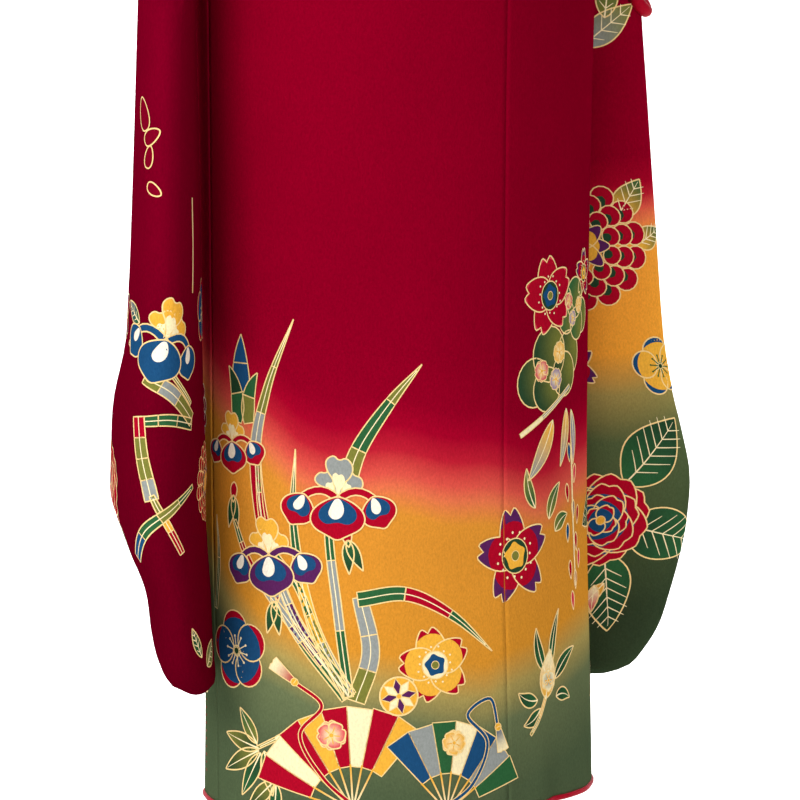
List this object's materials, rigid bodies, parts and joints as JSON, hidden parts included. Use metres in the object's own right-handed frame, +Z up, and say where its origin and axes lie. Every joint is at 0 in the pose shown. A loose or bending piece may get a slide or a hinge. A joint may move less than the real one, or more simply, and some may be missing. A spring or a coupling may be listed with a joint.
{
  "type": "furisode",
  "caption": "Long-sleeved wrap kimono in its worn, hollow form, with hanging sleeves, collar, waist tuck, waist tie and rolled hem.",
  "frame": {"origin": "middle of the neck at shoulder height, where the wearer or stand holds the garment", "axes": "+Z up, -Y to the wearer's front, +X to the wearer's left"},
  "size_m": [0.6236, 0.3236, 1.3674],
  "materials": {
    "silk_crepe": "soft dyed silk crepe, red over gold over green",
    "silk_lining": "smooth plain red silk"
  },
  "bodies": {
    "root": {"body_left": "silk_crepe", "overlap_left": "silk_crepe", "sleeve_left_inner": "silk_crepe", "sleeve_left_outer": "silk_crepe", "cuff_roll_left": "silk_lining", "hem_roll_back_left": "silk_lining", "hem_roll_front_left": "silk_lining", "hem_roll_overlap_left": "silk_lining", "body_right": "silk_crepe", "overlap_right": "silk_crepe", "sleeve_right_inner": "silk_crepe", "sleeve_right_outer": "silk_crepe", "cuff_roll_right": "silk_lining", "hem_roll_back_right": "silk_lining", "hem_roll_front_right": "silk_lining", "hem_roll_overlap_right": "silk_lining", "collar": "silk_crepe", "waist_tie": "silk_crepe"}
  },
  "joints": []
}
